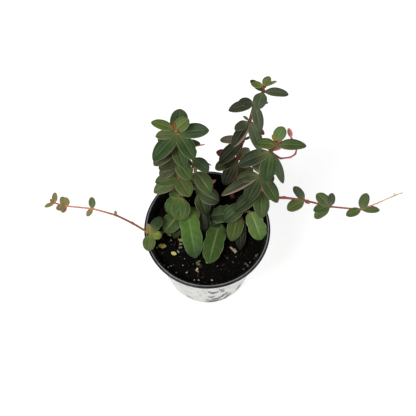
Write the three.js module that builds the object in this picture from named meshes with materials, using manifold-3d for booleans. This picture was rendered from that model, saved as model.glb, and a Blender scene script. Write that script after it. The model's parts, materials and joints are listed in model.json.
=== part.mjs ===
// A peperomia with leaves in whorls, growing in a round nursery pot.
// Millimetres, +Z up. The origin is the middle of the pot's base, and the front is towards -Y.
import * as THREE from 'three';
import { mergeVertices } from 'three/addons/utils/BufferGeometryUtils.js';
import Module from 'manifold-3d';

const wasm = await Module();
wasm.setup();

// Pot
const pot = {
  rimRadius: 54,
  height: 92,
  baseRadius: 38.5,
  baseEdge: 1,
  wall: 1.2,
  floor: 1.6,
  lipRadius: 1.7,
  lipFrom: -135,
  lipTurn: 45,
  lipSteps: 7,
  sides: 40,
  drainHoles: 6,
  drainRadius: 4,
  drainCircle: 24,
  drainSides: 10,
};

// Soil, with its lumps and crumbs, whose waves are in radians per millimetre
const soil = {
  level: 78,
  rise: 1.5,
  lump: 0.8,
  lumpWaves: [0.21, 0.19],
  lumpPhases: [0.7, -0.4],
  crumb: 0.5,
  crumbWaves: [0.53, -0.31, 0.2, 0.47],
  rings: 6,
  sides: 36,
  holeSides: 8,
};

// Clearance between pieces that touch, and how deep a stem stands in its hole
const gap = 0.3;
const planted = 16;

// Leaves and stems
const bladeThickness = 0.8;
const bladeFold = 0.18;
const edgeWave = 0.6;
const stemSides = 6;
const stemBend = 0.1;
const swelling = 1.3;
const rootSunk = 1.1;
const mergeWithin = 1e-4;

// A blade's outline from stem to tip as [part of its length, part of its half width].
// A leaf takes the first outline that is long enough for it and asks for no more than its width.
// The broad leaves have waved edges.
const outlines = [
  { upTo: 9, points: [[0, 0.2], [0.5, 1], [1, 0.15]] },
  { upTo: 21, points: [[0, 0.12], [0.1, 0.44], [0.45, 1], [0.8, 0.78], [1, 0.1]] },
  {
    upTo: 60,
    broadFrom: 15,
    waved: true,
    points: [[0, 0.1], [0.06, 0.45], [0.2, 0.81], [0.34, 0.96], [0.46, 0.88], [0.6, 1], [0.74, 0.85],
      [0.88, 0.68], [1, 0.12]],
  },
  { upTo: 60, points: [[0, 0.1], [0.09, 0.44], [0.28, 0.9], [0.5, 1], [0.82, 0.69], [1, 0.08]] },
];

const finishes = {
  pot: { color: 0x17181a, roughness: 0.45 },
  soil: { color: 0x1a1512, roughness: 1 },
  dark: { color: 0x2f4d34, roughness: 0.6 },
  olive: { color: 0x46592b, roughness: 0.6 },
  bright: { color: 0x4f8a3a, roughness: 0.6 },
};

// Each stem goes from the soil to its tip, through points [x, y, z, radius].
// A whorl stands at one of them, and each of its leaves is
// [azimuth, rise, droop, length, width, roll]: the way it points, how steeply it leaves the stem,
// how far it bends down along its length, and how far it turns about its midrib, in degrees.
const stemLeft = {
  name: 'stem_left',
  finish: 'dark',
  axis: [
    { at: [-18, 18, 80, 2.0] },
    {
      at: [-18, 19, 94, 1.9],
      leaves: [[-80, 9, 35, 47, 18], [-50, 8, 30, 16, 11], [-112, -5, 30, 30, 13],
        [-129, 8, 30, 30, 17], [143, 10, 30, 18, 12]],
    },
    {
      at: [-22, 23, 106, 1.8],
      leaves: [[-93, -2, 30, 21, 16.5], [-133, 0, 30, 18.5, 14], [165, 15, 30, 11, 8], [110, 10, 35, 17, 9]],
    },
    {
      at: [-24, 32, 121, 1.7],
      leaves: [[-150, 12, 30, 24, 13], [-63, 35, 40, 22, 14], [-172, 15, 30, 20, 12], [-15, 5, 30, 19, 12],
        [50, 10, 35, 17, 11], [110, 10, 35, 18, 12]],
    },
    {
      at: [-24, 38, 142, 1.6],
      leaves: [[-137, 12, 40, 20, 12], [-61, 28, 40, 21, 13], [-158, 12, 30, 17, 11],
        [-8, 8, 30, 12, 8], [85, 10, 35, 19, 12], [135, 10, 35, 17, 11]],
    },
    {
      at: [-25, 42, 162, 1.5],
      leaves: [[-72, 28, 40, 23, 12], [-140, 6, 40, 24, 13], [-4, -6, -40, 24.5, 5, -50],
        [4, 21, 35, 20, 9, -10], [75, 15, 35, 18, 12], [150, 12, 35, 17, 11]],
    },
    {
      at: [-23, 45, 177, 1.5],
      leaves: [[6, 17, 30, 25, 14], [-58, 8, 40, 25, 13], [-135, -2, 30, 29, 14], [-171, 17, 30, 18, 9],
        [84, 35, 30, 20, 14.5]],
    },
    {
      at: [-25, 45, 183, 1.3],
      leaves: [[168, 33, 35, 20, 9], [31, 35, 20, 14, 12], [105, 50, 30, 6, 4], [-60, 60, 20, 5, 4]],
    },
  ],
};

const stemMiddle = {
  name: 'stem_middle',
  finish: 'dark',
  axis: [
    { at: [-5, 24, 80, 1.8] },
    { at: [-6, 25, 91, 1.8], leaves: [[-82, 0, 35, 32, 12], [-50, 4, 30, 18, 13], [30, 5, 30, 17, 11]] },
    {
      at: [-8, 28, 104, 1.7],
      leaves: [[-24, 8, 30, 20, 15], [-68, -5, 30, 21, 13], [38, 10, 30, 20, 4], [110, 10, 30, 18, 12]],
    },
    {
      at: [-10, 38, 124, 1.5],
      leaves: [[-54, 5, 40, 23, 14], [80, 5, 35, 12, 9]],
    },
    {
      at: [-12, 43, 138, 1.3],
      leaves: [[-42, 22, 50, 18, 11], [-14, -4, 30, 17, 7, -60], [100, 15, 40, 11, 9]],
    },
    { at: [-12, 44, 143, 1.1], leaves: [[-80, 55, 20, 8, 6], [110, 60, 20, 7, 5], [150, 55, 20, 8, 6]] },
  ],
};

const stemTall = {
  name: 'stem_tall',
  finish: 'dark',
  axis: [
    { at: [22, 35, 80, 2.3] },
    {
      at: [24, 41, 104, 2.1],
      leaves: [[35, 10, 35, 19, 12], [100, 10, 35, 18, 12]],
    },
    {
      at: [25, 49, 124, 2.0],
      leaves: [[-119, -5, 30, 24.5, 12], [-158, 10, 40, 20.5, 11], [38, 34, 30, 14, 9], [162, 28, 40, 19, 9],
        [10, 5, 35, 18, 11]],
    },
    {
      at: [29, 55, 146, 1.9],
      leaves: [[-139, -2, 35, 27, 12], [179, 21, 40, 19, 8], [20, 30, 20, 9, 2.5]],
    },
    {
      at: [34, 61, 168, 1.7],
      leaves: [[-127, -5, 30, 25, 10], [-152, 6, 30, 14, 8], [-70, 0, 35, 26, 10], [-42, 4, 30, 16, 8, 70],
        [140, 20, 20, 7, 2.5]],
    },
    {
      at: [37, 66, 187, 1.6],
      leaves: [[-165, 15, 35, 21.5, 10], [-78, -3, 35, 23, 9], [0, 25, 30, 11, 3.5], [172, 20, 35, 13, 8]],
    },
    {
      at: [43, 68, 202, 1.4],
      leaves: [[-9, 22, 40, 20, 8], [-110, 8, 40, 15, 11], [143, 35, 30, 13.5, 6]],
    },
    {
      at: [43, 69, 208, 1.1],
      leaves: [[52, 42, 20, 9, 7], [170, 22, 30, 10, 6], [16, 27, 20, 11, 3], [-90, 55, 20, 5, 4]],
    },
  ],
};

const stemRight = {
  name: 'stem_right',
  finish: 'dark',
  axis: [
    { at: [27, 12, 80, 2.1] },
    {
      at: [28, 14, 93, 2.0],
      leaves: [[-107, 5, 30, 27, 14], [-89, -7, 30, 33, 10], [-171, 14, 35, 26, 16], [60, 10, 30, 20, 12]],
    },
    {
      at: [32, 18, 102, 2.0],
      leaves: [[-142, 0, 30, 24, 14]],
    },
    {
      at: [45, 26, 112, 1.9],
      leaves: [[-88, 2, 35, 24, 14], [-142, 2, 35, 29, 13], [150, 10, 35, 20, 12], [60, 10, 35, 20, 12]],
    },
    {
      at: [44, 30, 133, 1.8],
      leaves: [[-120, -5, 35, 26, 13], [-57, 0, 35, 27, 12], [-172, 10, 30, 20, 10], [-155, 6, 35, 37, 9],
        [100, 10, 35, 19, 12], [30, 10, 35, 19, 12]],
    },
    {
      at: [51, 40, 156, 1.6],
      leaves: [[-100, 0, 40, 25, 14], [-160, 4, 35, 29, 13], [-67, -4, 35, 28, 8],
        [100, 5, 35, 13, 10], [50, 10, 35, 15, 10]],
    },
    {
      at: [55, 40, 167, 1.4],
      leaves: [[-7, 27, 35, 24, 10], [176, 20, 35, 17, 10]],
    },
    {
      at: [54, 41, 172, 1.2],
      leaves: [[58, 35, 20, 13, 10.5], [120, 35, 20, 6, 4], [-90, 55, 20, 5, 4]],
    },
  ],
  branches: [
    { axis: [{ at: [28, 14, 93, 1.2] }, { at: [36.5, 13.5, 96, 1.1], leaves: [[-68, 4, 40, 27, 16]] }] },
    {
      axis: [
        { at: [45, 27, 112, 2.0] },
        { at: [53, 22, 105, 1.9] },
        { at: [66, 24, 101, 1.4] },
        {
          at: [83, 22, 100, 1.1],
          leaves: [[128, 22, 20, 15, 8], [-152, 5, 30, 17, 11], [-40, 30, 30, 6, 4]],
        },
        {
          at: [105, 17, 98, 1.0],
          leaves: [[136, 18, 20, 16, 11], [80, 25, 20, 12, 7], [-166, 8, 20, 15, 9], [-150, -8, 40, 17, 9]],
        },
        { at: [131, 14, 99, 0.9], leaves: [[68, 25, 20, 15, 9], [-158, 5, 20, 14, 8], [-4, 12, 20, 16, 7]] },
        { at: [146, 19, 102, 0.7] },
        { at: [159, 24, 105, 0.6] },
        { at: [166, 26, 107, 0.5] },
      ],
    },
    {
      axis: [
        { at: [51, 40, 156, 1.1] },
        { at: [59, 36, 152, 0.9] },
        { at: [67, 37, 152, 0.8] },
        { at: [71, 39, 154, 0.8] },
        { at: [72, 43, 158, 0.7] },
        { at: [67, 48, 165, 0.8], leaves: [[110, 40, 20, 8, 4.2, 150]] },
      ],
    },
  ],
};

const runnerLeft = {
  name: 'runner_left',
  finish: 'olive',
  axis: [
    { at: [-34, 3, 80, 1.5] },
    { at: [-40, -3, 87, 1.4] },
    {
      at: [-48, -8, 98, 1.3],
      leaves: [[56, 25, 20, 17, 9], [-12, 5, 20, 10, 8], [-97, 5, 40, 15, 11], [107, 28, 10, 9, 5]],
    },
    { at: [-63, 0, 102, 1.1] },
    { at: [-77, 6.5, 104, 1.0], leaves: [[100, 40, 20, 4, 2.5]] },
    { at: [-97, 12, 105, 0.9], leaves: [[95, 25, 10, 10, 6], [-130, -10, 20, 8, 5]] },
    {
      at: [-119, 14, 106, 0.9],
      leaves: [[86, 50, 10, 8, 6], [-139, -20, 20, 7, 6], [123, 30, 10, 9, 7], [-163, 8, 10, 9, 7]],
    },
    { at: [-129, 16, 108, 0.7], leaves: [[87, 25, 10, 9, 5], [-158, 0, 10, 9, 4], [150, 40, 20, 5, 3]] },
  ],
};

const shootFront = {
  name: 'shoot_front',
  finish: 'bright',
  axis: [
    { at: [9, 7, 80, 1.8] },
    {
      at: [11, 8, 85, 1.6],
      leaves: [[-104, 20, 30, 41, 18], [-140, 40, 30, 11, 9], [112, 14, 30, 14, 11], [40, 10, 30, 12, 10]],
    },
    { at: [11, 9, 88, 1.2], leaves: [[-140, 45, 30, 8, 6], [20, 45, 30, 7, 5]] },
  ],
};

const plants = [stemLeft, stemMiddle, stemTall, stemRight, runnerLeft, shootFront];

function solidOf(geometry) {
  const bare = geometry.clone();
  bare.deleteAttribute('normal');
  bare.deleteAttribute('uv');
  const merged = mergeVertices(bare, mergeWithin);
  return new wasm.Manifold(new wasm.Mesh({
    numProp: 3,
    vertProperties: new Float32Array(merged.attributes.position.array),
    triVerts: new Uint32Array(merged.index.array),
  }));
}

function geometryOf(solid) {
  const mesh = solid.getMesh();
  const geometry = new THREE.BufferGeometry();
  geometry.setAttribute('position', new THREE.BufferAttribute(mesh.vertProperties, 3));
  geometry.setIndex(new THREE.BufferAttribute(mesh.triVerts, 1));
  return geometry;
}

function named(name, finish, solid) {
  const material = new THREE.MeshStandardMaterial({ metalness: 0, ...finishes[finish] });
  const mesh = new THREE.Mesh(geometryOf(solid), material);
  mesh.name = name;
  return mesh;
}

// A closed turned shape, from a profile of [radius, height] points that starts and ends on the axis.
function turned(profile, sides) {
  const points = profile.map(([radius, height]) => new THREE.Vector2(radius, height));
  return new THREE.LatheGeometry(points, sides).rotateX(Math.PI / 2);
}

// The pot's inner radius at a height
function innerRadius(height) {
  const top = pot.rimRadius - 2 * pot.lipRadius;
  return THREE.MathUtils.lerp(pot.baseRadius, top, height / pot.height) - pot.wall;
}

function makePot() {
  const lipHeight = pot.height - pot.lipRadius;
  const lipCentre = pot.rimRadius - pot.lipRadius;
  const profile = [[0, 0], [pot.baseRadius - pot.baseEdge, 0], [pot.baseRadius, pot.baseEdge]];
  for (let step = 0; step <= pot.lipSteps; step += 1) {
    const angle = THREE.MathUtils.degToRad(pot.lipFrom + step * pot.lipTurn);
    profile.push([lipCentre + pot.lipRadius * Math.cos(angle), lipHeight + pot.lipRadius * Math.sin(angle)]);
  }
  profile.push([innerRadius(lipHeight), lipHeight - pot.lipRadius]);
  profile.push([innerRadius(pot.floor), pot.floor], [0, pot.floor]);
  let solid = solidOf(turned(profile, pot.sides));
  for (let hole = 0; hole < pot.drainHoles; hole += 1) {
    const angle = (2 * Math.PI * hole) / pot.drainHoles;
    const { drainRadius, floor, drainSides } = pot;
    const cutter = new THREE.CylinderGeometry(drainRadius, drainRadius, 4 * floor, drainSides)
      .rotateX(Math.PI / 2)
      .translate(pot.drainCircle * Math.cos(angle), pot.drainCircle * Math.sin(angle), 0);
    solid = solid.subtract(solidOf(cutter));
  }
  return named('pot', 'pot', solid);
}

// The soil's surface is lumpy, and a little higher at the back.
function soilHeight(x, y) {
  const { lumpWaves, lumpPhases, crumbWaves: [a, b, c, d] } = soil;
  const lumps = Math.sin(lumpWaves[0] * x + lumpPhases[0]) * Math.cos(lumpWaves[1] * y + lumpPhases[1]);
  const crumbs = Math.sin(a * x + b * y) * Math.cos(c * x + d * y);
  return soil.level + (soil.rise * y) / pot.rimRadius + soil.lump * lumps + soil.crumb * crumbs;
}

function makeSoil() {
  const bottom = pot.floor + gap;
  const rim = innerRadius(soil.level) - gap;
  const profile = [[0, bottom], [innerRadius(bottom) - gap, bottom]];
  for (let ring = soil.rings; ring >= 0; ring -= 1) {
    profile.push([(rim * ring) / soil.rings, soil.level]);
  }
  const geometry = turned(profile, soil.sides);
  const places = geometry.attributes.position;
  for (let i = 0; i < places.count; i += 1) {
    if (places.getZ(i) > soil.level / 2) {
      places.setZ(i, soilHeight(places.getX(i), places.getY(i)));
    }
  }
  let solid = solidOf(geometry);
  for (const plant of plants) {
    const [x, y, z, radius] = plant.axis[0].at;
    const depth = planted + gap;
    const cutter = new THREE.CylinderGeometry(radius + gap, radius + gap, 2 * depth, soil.holeSides)
      .rotateX(Math.PI / 2)
      .translate(x, y, z);
    solid = solid.subtract(solidOf(cutter));
  }
  return named('soil', 'soil', solid);
}

// A stem is a tapering rod bent along its axis, swollen at each whorl.
function stemSolid(axis, rooted) {
  const points = axis.map(({ at: [x, y, z] }) => new THREE.Vector3(x, y, z));
  const radii = axis.map(({ at }) => at[3]);
  if (rooted) {
    points.unshift(points[0].clone().setZ(points[0].z - planted));
    radii.unshift(radii[0]);
  }
  const curve = new THREE.CatmullRomCurve3(points, false, 'catmullrom', stemBend);
  const spans = points.length - 1;
  const stations = 2 * spans;
  const frames = curve.computeFrenetFrames(stations, false);
  const rod = new THREE.CylinderGeometry(1, 1, 1, stemSides, stations);
  const places = rod.attributes.position;
  const place = new THREE.Vector3();
  for (let i = 0; i < places.count; i += 1) {
    const along = places.getY(i) + 0.5;
    const station = Math.round(along * stations);
    const whole = Math.min(Math.floor(station / 2), spans - 1);
    const radius = THREE.MathUtils.lerp(radii[whole], radii[whole + 1], station / 2 - whole);
    const swollen = station % 2 === 0 && station > 2 ? swelling : 1;
    curve.getPoint(station / stations, place);
    place.addScaledVector(frames.normals[station], radius * swollen * places.getX(i));
    place.addScaledVector(frames.binormals[station], -radius * swollen * places.getZ(i));
    places.setXYZ(i, place.x, place.y, place.z);
  }
  return solidOf(rod);
}

// A blade follows an arc away from the stem. Its two faces are split into the same triangles.
function leafSolid([x, y, z, radius], [azimuth, rise, droop, length, width, roll = 0]) {
  const fits = ({ upTo, broadFrom = 0 }) => length <= upTo && width >= broadFrom;
  const { points: outline, waved } = outlines.find(fits);
  const heading = THREE.MathUtils.degToRad(azimuth);
  const start = THREE.MathUtils.degToRad(rise);
  const bend = THREE.MathUtils.degToRad(droop);
  const ahead = new THREE.Vector3(Math.cos(heading), Math.sin(heading), 0);
  const level = new THREE.Vector3(-ahead.y, ahead.x, 0);
  const root = Math.max(0, (swelling * radius - rootSunk) / length);
  const positions = [];
  outline.forEach(([part, fullness], station) => {
    const along = THREE.MathUtils.lerp(root, 1, part);
    const slope = start - bend * along;
    const out = (length / bend) * (Math.sin(start) - Math.sin(slope));
    const lift = (length / bend) * (Math.cos(slope) - Math.cos(start));
    const tangent = ahead.clone().multiplyScalar(Math.cos(slope)).setZ(Math.sin(slope));
    const side = level.clone().applyAxisAngle(tangent, THREE.MathUtils.degToRad(roll));
    const face = tangent.clone().cross(side);
    const half = 0.5 * width * fullness;
    const wave = waved ? edgeWave * (station % 2 ? 1 : -1) : 0;
    const middle = new THREE.Vector3(x, y, z + lift).addScaledVector(ahead, out);
    for (const layer of [-0.5, 0.5]) {
      for (const across of [-1, 0, 1]) {
        const lean = Math.abs(across) * (bladeFold * half + wave);
        const spot = middle.clone()
          .addScaledVector(side, half * across)
          .addScaledVector(face, lean + layer * bladeThickness);
        positions.push(spot.x, spot.y, spot.z);
      }
    }
  });
  const faces = [];
  const quad = (a, b, c, d) => faces.push(a, b, c, a, c, d);
  const stations = outline.length - 1;
  for (let station = 0; station < stations; station += 1) {
    const near = 6 * station;
    const far = near + 6;
    for (const strip of [0, 1]) {
      quad(near + strip, near + strip + 1, far + strip + 1, far + strip);
      quad(near + strip + 3, far + strip + 3, far + strip + 4, near + strip + 4);
    }
    quad(near + 3, near, far, far + 3);
    quad(near + 2, near + 5, far + 5, far + 2);
  }
  const tip = 6 * stations;
  for (const strip of [0, 1]) {
    quad(strip, strip + 3, strip + 4, strip + 1);
    quad(tip + strip, tip + strip + 1, tip + strip + 4, tip + strip + 3);
  }
  const geometry = new THREE.BufferGeometry();
  geometry.setAttribute('position', new THREE.Float32BufferAttribute(positions, 3));
  geometry.setIndex(faces);
  return solidOf(geometry);
}

function plantSolid(plant, rooted = true) {
  let solid = stemSolid(plant.axis, rooted);
  for (const { at, leaves = [] } of plant.axis) {
    for (const leaf of leaves) {
      solid = solid.add(leafSolid(at, leaf));
    }
  }
  for (const branch of plant.branches ?? []) {
    solid = solid.add(plantSolid(branch, false));
  }
  return solid;
}

const group = new THREE.Group();
group.add(makePot());
group.add(makeSoil());
for (const plant of plants) {
  group.add(named(plant.name, plant.finish, plantSolid(plant)));
}

export default group;
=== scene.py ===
"""A peperomia with leaves in whorls, in a white nursery pot with a black inside: its finished look."""

import json
import random
from math import cos, degrees, exp, hypot, pi, radians, sin, sqrt

import bmesh
import bpy
import numpy as np
from mathutils import Matrix, Vector
from mathutils.kdtree import KDTree

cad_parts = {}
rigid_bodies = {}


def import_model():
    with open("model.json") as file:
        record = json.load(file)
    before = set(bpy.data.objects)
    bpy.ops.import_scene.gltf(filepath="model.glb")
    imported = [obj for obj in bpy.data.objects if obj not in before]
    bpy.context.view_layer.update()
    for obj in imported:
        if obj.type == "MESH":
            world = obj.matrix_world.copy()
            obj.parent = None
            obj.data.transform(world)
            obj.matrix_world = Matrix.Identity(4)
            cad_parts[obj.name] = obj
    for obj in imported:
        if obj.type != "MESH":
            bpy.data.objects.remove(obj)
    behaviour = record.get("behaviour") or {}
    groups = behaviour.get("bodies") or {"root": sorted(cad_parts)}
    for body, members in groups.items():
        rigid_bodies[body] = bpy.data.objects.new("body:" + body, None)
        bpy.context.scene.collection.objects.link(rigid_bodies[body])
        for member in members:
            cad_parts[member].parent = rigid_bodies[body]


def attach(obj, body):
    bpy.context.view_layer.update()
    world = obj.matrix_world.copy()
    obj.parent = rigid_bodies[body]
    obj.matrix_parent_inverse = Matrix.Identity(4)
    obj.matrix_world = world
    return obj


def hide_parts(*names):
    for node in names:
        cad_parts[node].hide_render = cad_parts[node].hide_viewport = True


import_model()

# A millimetre in metres, the seed of the random draws, and how near points are to be merged, in metres
MM = 0.001
SEED = 11
WELD = 0.00001

# Camera, light and the floor under the pot, in metres, degrees and watts. Lens and sensor in millimetres
CAMERA_PLACE = (0.0006, -0.2772, 0.7781)
CAMERA_TILT = 23.3
LENS = 75
SENSOR_WIDTH = 36
DAYLIGHT = 0.3
LIGHT_AIM = (0, 0, 0.1)
GROUND_SIZE = 6
GROUND_DROP = 0.0002
GROUND_GREY = (0.6, 0.6, 0.6, 1)
GROUND_GLOW = 0.66

# Softboxes: (name, place, side, power)
SOFTBOXES = (("key", (-0.45, -0.35, 1.0), 0.4, 7.5), ("fill", (0.7, -0.5, 0.7), 0.5, 2.5))

# Pot, in millimetres and degrees
RIM_RADIUS = 54
POT_HEIGHT = 92
BASE_RADIUS = 38.5
WALL = 1.2
FLOOR = 1.6
FLOOR_TOP = 2.8
LIP_RADIUS = 1.7
LIP_CENTRE = RIM_RADIUS - LIP_RADIUS
LIP_HEIGHT = POT_HEIGHT - LIP_RADIUS
# Angles around the lip's round: the first, one past the last, and the step
LIP_ARC = (-135, 154, 9)
# A shallow groove in the lip, as an angle, its width and its depth
GROOVE_AT = 70
GROOVE_WIDTH = 13
GROOVE_DEPTH = 0.35
# A painted highlight ring on top of the lip: its radius, and the heights over which it fades in, in
# millimetres
LIP_HIGHLIGHT_RADIUS = 52.1
LIP_HIGHLIGHT_HEIGHTS = (90.5, 91.2)
DRAIN_HOLES = 6
DRAIN_RADIUS = 4
DRAIN_CIRCLE = 24
DRILL_LENGTH = 12
POT_SIDES = 144
POT_CREASE = 50
SLEEVE = 0.5
SLEEVE_TOP = 88.85
LINER_FOOT = 1.25
LINER_INSET = 6.1
LINER_GAP = 0.05
LINER_TOP = 89
WALL_FOOT = 1
WALL_POINTS = 13
WALL_MEETS_LIP = 30

# Points of the pot's outline: (inset, height) under its foot and in its inner corner, and heights inside
FOOT_RING = ((6, 1.2), (5, 0), (1, 0), (0.3, 0.3))
INSIDE_CORNER = ((1.2, 1.8), (3, 2.8))
INSIDE_HEIGHTS = (87, 84, 76, 60, 40, 20, 6, 2.6)

# Scuffs on the wall: (degrees from the front, height, reach in degrees, half height, rise per degree,
# bend per square degree, strength)
WALL_SCUFFS = (
    (6.3, 51, 7, 6, -0.5, 0.22, 0.9), (15.3, 58, 3.6, 6, -0.6, 0.5, 0.85), (17.6, 50, 3, 6, 0.5, 0.3, 0.75),
    (20.5, 29, 6, 9, 0.8, -0.1, 0.9), (26.5, 11, 5.5, 13, 1.5, 0, 1), (5.6, 30, 5.5, 6, -0.3, 0.2, 0.8),
    (13, 19, 10, 6.5, 0.5, 0, 0.9), (3, 13, 9, 5.5, -0.4, 0, 0.7), (9, 5, 16, 7.5, 0.1, 0, 0.95),
    (44.5, 19, 4.5, 14, -1, 0, 1), (50, 26, 5, 7, 2, 0, 0.7), (-8, 37, 3, 6, 0.5, 0, 0.45),
    (-2, 49, 2.5, 5, 0, 0, 0.35), (-25, 12, 9, 6, -0.3, 0, 0.5), (-9.5, 52, 2, 5, 0, 0, 0.3),
)

# Soil and what lies on it, in millimetres
SOIL_LEVEL = 78
SOIL_RISE = 1.5
SOIL_LUMP = 0.8
SOIL_CRUMB = 0.5
LUMP_WAVES = (0.21, 0.19)
CRUMB_WAVES = (0.53, -0.31, 0.2, 0.47)
SOIL_SIDES = 320
SOIL_RINGS = 72
SOIL_TAPER = 2
RIM_GRAIN = 0.25
GAP = 0.3
WALL_CLEARANCE = 2.5
LUMP_LIFT = 0.18
LUMP_TILT = 0.6
CHIP_SQUASH = (1.3, 0.5, 0.28)
FALLEN_LIFT = 1.3
FALLEN_ARC = (6, 8)

# Layers of the soil's grain: (pattern, size, height), in metres
SOIL_GRAIN = (("VORONOI", 0.0035, 0.0011), ("CLOUDS", 0.0016, 0.0012), ("CLOUDS", 0.0007, 0.0006))

# Loose bits that are strewn at random: how many, and their least, greatest and usual size
PEAT_CRUMBS = (620, (0.8, 3.4, 1.3))
BARK_CHIPS = (60, (0.8, 2.8, 1.2))
FINE_GRAINS = (26, (0.4, 1.3, 0.6))

# Finishes of the loose bits: two colours, the scale of the mottling between them, and the shine
SPECKLED = {
    "peat": ((0.0015, 0.0013, 0.001, 1), (0.014, 0.0105, 0.0075, 1), 700, 0.08),
    "bark": ((0.022, 0.014, 0.009, 1), (0.07, 0.05, 0.034, 1), 500, 0.2),
    "grain": ((0.3, 0.29, 0.25, 1), (0.5, 0.48, 0.43, 1), 700, 0.3),
    "wood": ((0.3, 0.24, 0.16, 1), (0.5, 0.42, 0.3, 1), 600, 0.3),
    "brown": ((0.06, 0.045, 0.038, 1), (0.2, 0.15, 0.125, 1), 450, 0.2),
}

# What lies at a known place on the soil: white grains and brown lumps (x, y, size), bits of wood (from, to,
# radius), and fallen leaves (tone, x, y of the stalk's end, azimuth, length, width)
WHITE_GRAINS = (
    (-43.4, -13.2, 1.5), (-38.4, -4.9, 1.7), (-31.4, -6.3, 1.5), (-33.5, -30.6, 1.4), (-31, -29.5, 1.3),
    (4, -42.1, 1.9), (-11, -42.1, 1.5), (-7.4, -42.1, 1.6), (-17.5, -35.3, 1.6), (-20.9, -28.8, 1.3),
    (-23.5, -21, 1.2), (-37, -29, 1.4),
)
TWIGS = (
    ((19.8, -13.4), (23, -16.8), 0.8), ((22.4, -15.8), (24.6, -18.2), 1.2),
    ((-25.9, -15.6), (-24.2, -17.6), 0.6), ((-10, -33.2), (-7.6, -35), 0.5),
)
FALLEN_LEAVES = (
    ("tawny", -35.4, -12, 176, 7, 4.4), ("cream", -26.5, -19.3, 160, 5, 3.2),
    ("tawny", -22, -7.6, 130, 4.4, 3), ("tawny", -31.6, -2.6, -225, 4, 2.6),
    ("pale", -21.6, -9.6, -160, 3.2, 2), ("pale", -21.6, -12.8, -170, 3.2, 1.8),
    ("ash", -6.4, -29, 140, 4.4, 2.4), ("straw", -8.2, -31.4, -110, 2.6, 1.6),
    ("young", 1.4, -27.4, 160, 3, 2), ("drab", -5.8, -25, 200, 3, 1.8),
)
BROWN_LUMPS = (
    (42, -20.5, 2.6), (43.4, -19, 1.8), (32.8, -28, 2.6), (34.6, -29.6, 2.4), (31, -32.4, 2.2),
    (36.6, -26.4, 2.2), (27.5, -38.6, 1.6), (25, -39.8, 1.8), (40.4, -22.8, 1.6), (24.6, -21.4, 1.6),
    (17.2, -22.3, 1.5), (12, -32.5, 1.4), (22, -26, 1.7), (-38, -28.4, 1.8), (-28.6, -28.8, 1.6),
)

# Leaves: sizes in millimetres, and shares of a leaf's length or width
SMALL_LENGTH = 9
SHORT_LENGTH = 21
BROAD_WIDTH = 15
STALK_FADED = 0.12
STALK_FADES = 0.08
BODY_GROWS = 0.15
BODY_FADES = 0.12
BODY_END = 1.02
BLADE_FOLD = 0.18
FOLD_ROUND = 0.1
SWELL = 0.03
EDGE_TURN = 0.06
EDGE_WAVE = 0.6
RIPPLE = 0.014
RIPPLES = 3
BLADE_THICK = 0.85
STALK_THICK = 1.3
EDGE_THINNER = 0.5
THINNEST = 0.55
THICK_FROM = 14
ROOT_SUNK = 1.1
LEAF_GAIN = 0.8
SHADE_SPREAD = (0.92, 1.08)
FAINT_RIB = (0.15, 0.45)

BLADE_STATIONS = (
    0, 0.04, 0.09, 0.15, 0.21, 0.28, 0.34, 0.4, 0.46, 0.53, 0.6, 0.67, 0.74, 0.81, 0.87, 0.93, 0.97, 1)
BLADE_LANES = (-1, -0.9, -0.72, -0.52, -0.32, -0.12, 0, 0.12, 0.32, 0.52, 0.72, 0.9, 1)
STALK_END = 0.07
LOBE_LENGTH = 0.26
LOBE_PEAK = 0.34

# Each kind of blade's share of its half width at each station, from stem to tip
OUTLINES = {
    "small": (
        0.2, 0.32, 0.46, 0.62, 0.76, 0.88, 0.94, 0.98, 1,
        1, 0.97, 0.92, 0.84, 0.74, 0.62, 0.46, 0.3, 0.1),
    "short": (
        0.12, 0.24, 0.41, 0.6, 0.75, 0.88, 0.94, 0.98, 1,
        1, 0.97, 0.93, 0.87, 0.77, 0.65, 0.46, 0.28, 0.05),
    "long": (
        0.1, 0.24, 0.44, 0.63, 0.78, 0.9, 0.95, 0.98, 1,
        1, 0.97, 0.91, 0.83, 0.71, 0.58, 0.4, 0.24, 0.04),
    "broad": (
        0.1, 0.33, 0.57, 0.75, 0.8, 0.92, 0.97, 0.95, 0.86,
        0.96, 1, 0.97, 0.85, 0.83, 0.72, 0.5, 0.3, 0.06),
}

# Stems: lengths in millimetres, and shares of a stem's radius or of the way between two of its points
PLANTED = 16
STEM_BEND = 0.1
SWELLING = 1.3
NODE_SWELLING = 1.08
NODE_REACH = 2.2
SLIMMER = 0.8
STEM_STEPS = 10

# Leaf and stem colours, as a painter would name them, in display red, green and blue
# The two darkest tones are painted shade: they go to leaves that lie in shadow under the others
TONES = {
    "night": (14, 20, 8), "shade": (24, 31, 13), "bronze": (60, 46, 22), "deep": (42, 57, 26),
    "iron": (46, 54, 39), "dull": (74, 80, 53), "slate": (56, 63, 48), "fern": (47, 70, 35),
    "dark": (60, 80, 47), "green": (63, 90, 38), "mid": (73, 93, 50), "olive": (74, 90, 38),
    "moss": (86, 103, 53), "ash": (92, 106, 67), "pine": (63, 86, 57), "cool": (74, 87, 63),
    "bright": (82, 117, 52), "sage": (98, 124, 70), "lime": (94, 110, 54), "young": (132, 146, 58),
    "khaki": (138, 128, 82), "pale": (134, 140, 108), "drab": (106, 102, 84), "tawny": (168, 158, 84),
    "cream": (214, 206, 128), "mustard": (140, 124, 54), "orange": (122, 82, 42), "peach": (160, 120, 80),
    "rose": (156, 92, 86), "wine": (112, 50, 50), "pink": (228, 150, 148), "brown": (84, 62, 46),
    "rust": (100, 60, 46), "red": (140, 72, 66), "cherry": (176, 92, 88), "coral": (210, 140, 118),
    "straw": (222, 190, 152),
}

# A leaf whose first tone is one of these is as red below as above
RED_TONES = ("rose", "pink", "wine", "coral", "red")

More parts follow.
